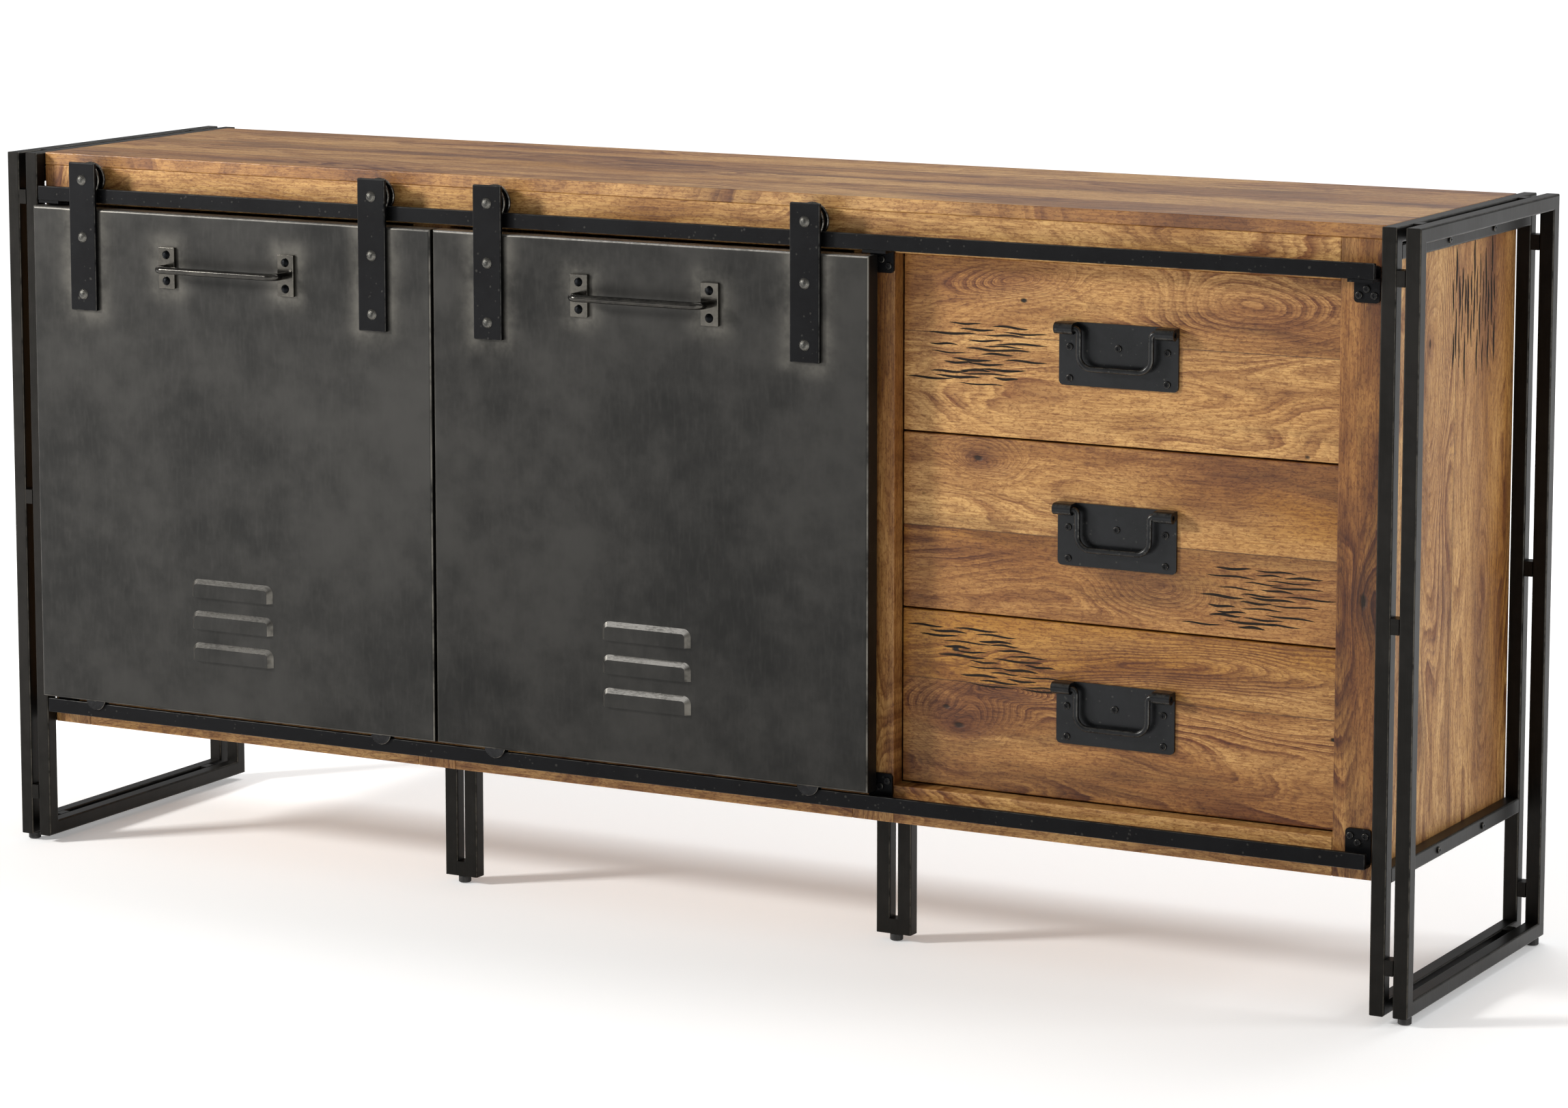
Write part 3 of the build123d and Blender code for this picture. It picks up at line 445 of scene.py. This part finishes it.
def metal(name, base, worn, cloud_size, seed, gloss=0.42, metallic=0.9, cloud=0.5, edge_wear_and_highlight=0.6,
          specks=0.0, grain=(1, 1, 1), relief=0.15, top_wear_and_highlight=0.0, bright="#8d8980", specular=0.5,
          black=None, fittings=()):
    """Lacquered or blackened metal: a cloudy base, brush grain, small specks, and edges painted brighter,
    partly as wear and partly as a painted highlight.

    The tops argument brightens what faces up and forwards, partly as rubbed wear and partly as a painted
    highlight. black is a function of the three coordinates that
    returns a mask of the part that was blackened. fittings are upright rectangles, (middle x, middle z,
    half width, half height), round which cleaning has rubbed the lacquer thin.
    """
    paint = Paint(name)
    x, y, z = paint.axes()
    where = paint.vector(x, y, z + seed)
    clouds = paint.noise(where, cloud_size, 5.0, 0.62)
    mottle = paint.noise(where, cloud_size * 7, 4.0, 0.65)
    brushed = paint.noise(paint.vector(x * 900 * grain[0], y * 900 * grain[1], z * 900 * grain[2]), 1.0, 2.0)
    dull = paint.smooth(clouds * 0.7 + mottle * 0.3, 0.36, 0.64)
    body = paint.mix(dull * cloud, colour(base), colour(worn))
    body = paint.mix(paint.smooth(brushed, 0.45, 0.75) * 0.22, body, colour(worn))
    # Rounded edges are painted brighter: partly rubbed wear, partly a painted highlight standing in for edges
    # catching the light.
    worn_and_highlit_edges = paint.smooth(edges(paint), 0.03, 0.22) * paint.smooth(mottle, 0.30, 0.62)
    body = paint.mix(worn_and_highlit_edges * edge_wear_and_highlight, body, colour(bright))
    # Faces that look up are mixed towards near white: a painted highlight on the louvre slopes, with some
    # rubbed wear along the brush streaks.
    if top_wear_and_highlight:
        slope = paint.smooth(normal_parts(paint)[2], 0.3, 0.65)
        streak = paint.smooth(brushed * 0.5 + mottle * 0.5, 0.30, 0.58, 0.45, 1.0)
        body = paint.mix(slope * streak * top_wear_and_highlight, body, colour("#efebe3"))
    for middle_x, middle_z, half_x, half_z in fittings:
        beside = paint.pick("MAXIMUM", paint.pick("ABSOLUTE", x - middle_x) - half_x, 0.0)
        beyond = paint.pick("MAXIMUM", paint.pick("ABSOLUTE", z - middle_z) - half_z, 0.0)
        thin = paint.pick("EXPONENT", (beside * beside + beyond * beyond) * (-1 / HALO_REACH ** 2))
        body = paint.mix(thin * paint.smooth(mottle, 0.3, 0.7, 0.05, 0.26), body, colour(bright))
    if specks:
        dots = paint.node("ShaderNodeTexVoronoi", {}, {"Vector": where, "Scale": 150.0}, "Distance")
        near = paint.smooth(dots + (mottle - 0.5) * 0.9, 0.02, 0.16, 1.0, 0.0)
        body = paint.mix(near * specks, body, colour("#86847c"))
    if black:
        body = paint.mix(black(paint, x, y, z), body, colour("#17181a"))
    roughness = (clouds - 0.5) * 0.20 + (brushed - 0.5) * 0.12 + gloss - worn_and_highlit_edges * 0.12
    if top_wear_and_highlight:
        roughness = roughness - slope * top_wear_and_highlight * 0.18
    paint.feed(Base_Color=body, Metallic=metallic, Roughness=roughness, Specular_IOR_Level=specular,
               Normal=paint.bump(brushed * 0.4 + mottle * 0.8, 0.0004, relief))
    return paint.material


# %% Dress the steel
STRAP_WIDTH, HANDLE_PLATE_WIDTH = 0.035, 0.021
HANDLE_SIDE = 0.120
ROD_FRONT = 0.001

frame_steel = metal("frame_steel", "#1b1a18", "#2b2927", 9, 0.0, gloss=0.40, grain=(1, 1, 0.04),
                    bright="#5b574f")
door_look = {"gloss": 0.42, "cloud": 0.75, "grain": (0.25, 1, 0.05)}


def fittings_of(door):
    """The rectangles of a door's two straps and its two handle plates."""
    found = []
    for ending, width in (("straps", STRAP_WIDTH), ("handle", HANDLE_PLATE_WIDTH)):
        low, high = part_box(f"{door}_door_{ending}")
        for x in (low.x + width / 2, high.x - width / 2):
            found.append((x, (low.z + high.z) / 2, width / 2, (high.z - low.z) / 2))
    return found


# The right door's louvre tops get a stronger painted highlight than the left door's.
left_steel = metal("left_door_steel", "#262625", "#403f3d", 3.2, 2.0, top_wear_and_highlight=0.3,
                   fittings=fittings_of("left"), **door_look)
right_steel = metal("right_door_steel", "#232322", "#3c3b39", 3.6, 5.0, top_wear_and_highlight=1.0,
                    fittings=fittings_of("right"), **door_look)
black_iron = metal("black_iron", "#08080a", "#121315", 14, 4.0, gloss=0.46, metallic=0.6, specks=0.10,
                   specular=0.22, bright="#5c5b57")
pull_iron = metal("pull_iron", "#191a1b", "#252628", 20, 6.0, gloss=0.32, metallic=0.7, specks=0.12,
                  bright="#5c5b57")
screw_black = metal("screw_black", "#141415", "#242425", 60, 8.0, gloss=0.35, metallic=0.8)
bolt_look = {"gloss": 0.34, "metallic": 1.0, "relief": 0.8, "bright": "#9b9890"}


def between_straps(door):
    """Black within 120 mm of a door's middle, where the handle's bolts are."""
    centre_x = middle(door).x
    near, far = HANDLE_SIDE - 0.001, HANDLE_SIDE + 0.001
    return lambda paint, x, y, z: paint.smooth(paint.pick("ABSOLUTE", x - centre_x), near, far, 1.0, 0.0)


def in_front(plane):
    """Black in front of a plane: a handle's rod, but not its plates."""
    return lambda paint, x, y, z: paint.smooth(y, plane - 0.0006, plane - 0.0001, 0.6, 0.0)


left_bolts = metal("left_bolt_steel", "#353534", "#5e5d58", 220, 10.0,
                   black=between_straps("left_door_panel"), **bolt_look)
right_bolts = metal("right_bolt_steel", "#353534", "#5e5d58", 220, 11.0,
                    black=between_straps("right_door_panel"), **bolt_look)
plate_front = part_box("left_door_panel")[0].y + ROD_FRONT
handle_steel = metal("handle_steel", "#4b4945", "#706c64", 25, 12.0, gloss=0.20, metallic=1.0,
                     black=in_front(plate_front))
wheel_iron = metal("wheel_iron", "#1c1c1d", "#39393a", 40, 14.0, gloss=0.35)
rubber = metal("foot_rubber", "#141414", "#202020", 60, 16.0, gloss=0.6, metallic=0.0, edge_wear_and_highlight=0.1)
finishes = {"outer_ring": frame_steel, "inner_ring": frame_steel, "frame_spacers": frame_steel,
            "side_bars": frame_steel, "middle_legs": frame_steel, "feet": rubber,
            "left_door_panel": left_steel, "right_door_panel": right_steel, "straps": black_iron,
            "track": black_iron, "track_brackets": black_iron, "bail": pull_iron, "pull_plate": pull_iron,
            "screws": screw_black, "left_door_bolts": left_bolts, "right_door_bolts": right_bolts,
            "shelf_pins": wheel_iron, "door_handle": handle_steel, "wheel": wheel_iron,
            "roller": wheel_iron}
for ending, finish in finishes.items():
    for name in nodes:
        if name.endswith(ending):
            dress(name, finish)
plain = [name for name in nodes if nodes[name].data.materials[0] not in [p.material for p in Paint.made]]
print("nodes without a finish", plain)

# %% [markdown]
# ## Floor, light and surroundings
# A pale floor, a soft key from the upper left in front, and weak fills. The floor glows: faintly near the
# sideboard, which lifts its shadow there, and brightly from a few metres out, like a lit sweep, so that no
# horizon shows. The surroundings are white to the camera and dimmer as a light, which keeps the picture
# clean without washing out the dark steel.

# %% Floor and lights
def floor(size, height):
    """A square sheet at a height: x and y run over a two by two grid of corners."""
    x, y = np.meshgrid(np.array([-size, size]), np.array([-size, size]))
    corners = np.stack([x.ravel(), y.ravel(), np.full(4, height)], axis=1)
    data = bpy.data.meshes.new("floor")
    data.from_pydata(corners.tolist(), [], [(0, 1, 3, 2)])
    sheet = bpy.data.objects.new("floor", data)
    bpy.context.scene.collection.objects.link(sheet)
    return sheet


FLOOR_HALF, FLOOR_DROP = 40.0, 0.0005
GLOW_START, GLOW_END = 0.9, 3.2
ground = floor(FLOOR_HALF, -FLOOR_DROP)
pale = Paint("pale_floor")
across, deep_in, _ = pale.axes()
away = pale.pick("SQRT", across * across + deep_in * deep_in)
glow = pale.smooth(away, GLOW_START, GLOW_END)
# The floor's emission is a painted glow: faint near the sideboard, rising to near white further out.
pale.feed(Base_Color=(0.88, 0.88, 0.88, 1.0), Roughness=0.8, Emission_Strength=1.0,
          Emission_Color=pale.mix(glow, (0.26, 0.26, 0.26, 1.0), (0.9, 0.9, 0.9, 1.0)))
ground.data.materials.append(pale.material)

target = (cad_low + cad_high) / 2


def softbox(name, place, size, power, tint=(1.0, 1.0, 1.0)):
    """A square area light at a place, turned to the middle of the sideboard."""
    data = bpy.data.lights.new(name, "AREA")
    data.size = size
    data.energy = power
    data.color = tint
    lamp = bpy.data.objects.new(name, data)
    lamp.location = place
    lamp.rotation_euler = (target - lamp.location).to_track_quat("-Z", "Y").to_euler()
    bpy.context.scene.collection.objects.link(lamp)


softbox("key", (-3.35, -2.80, 2.2), 0.7, 210, (1.0, 0.98, 0.95))
softbox("fill", (3.6, -3.4, 1.6), 2.4, 10)
softbox("side", (4.4, 1.1, 2.0), 1.6, 55)
softbox("top", (0.3, 1.4, 3.2), 2.2, 56)

world = bpy.data.worlds.new("surroundings")
world.use_nodes = True
bpy.context.scene.world = world
tree = world.node_tree
room = tree.nodes["Background"]
room.inputs["Color"].default_value = (1.0, 1.0, 1.0, 1.0)
room.inputs["Strength"].default_value = 0.32
white = tree.nodes.new("ShaderNodeBackground")
white.inputs["Color"].default_value = (1.0, 1.0, 1.0, 1.0)
choice = tree.nodes.new("ShaderNodeMixShader")
rays = tree.nodes.new("ShaderNodeLightPath")
tree.links.new(rays.outputs["Is Camera Ray"], choice.inputs[0])
tree.links.new(room.outputs[0], choice.inputs[1])
tree.links.new(white.outputs[0], choice.inputs[2])
tree.links.new(choice.outputs[0], tree.nodes["World Output"].inputs["Surface"])
bpy.context.scene.view_settings.view_transform = "Standard"
print("lights", [lamp.name for lamp in bpy.data.lights])
